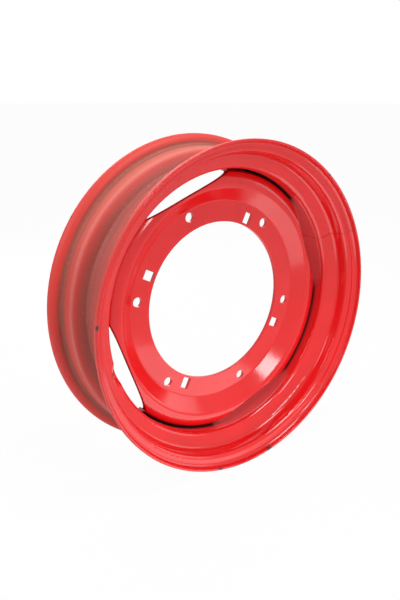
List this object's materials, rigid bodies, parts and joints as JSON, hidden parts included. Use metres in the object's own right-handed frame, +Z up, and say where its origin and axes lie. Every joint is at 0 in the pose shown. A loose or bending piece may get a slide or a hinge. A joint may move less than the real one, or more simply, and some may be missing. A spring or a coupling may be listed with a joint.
{
  "type": "tractor wheel rim",
  "caption": "Drop-centre steel rim for a tractor tyre, with a welded dished disc that has straight flats, a large hub hole, bolt holes and square holes.",
  "frame": {"origin": "centre of the rim: on the wheel's axis, midway between its two lips", "axes": "+Y along the wheel's axis from the dished front to the hub side, +Z up as the wheel stands on a hub"},
  "size_m": [0.87, 0.254, 0.8699],
  "materials": {
    "rim_paint": "gloss red paint, dusty and matt on the tyre side, bare at the lips",
    "disc_paint": "gloss red paint",
    "weld_paint": "red paint over a weld bead"
  },
  "bodies": {
    "root": {"rim": "rim_paint", "disc": "disc_paint", "lobe_weld_1": "weld_paint", "lobe_weld_2": "weld_paint", "lobe_weld_3": "weld_paint", "lobe_weld_4": "weld_paint"}
  },
  "joints": []
}
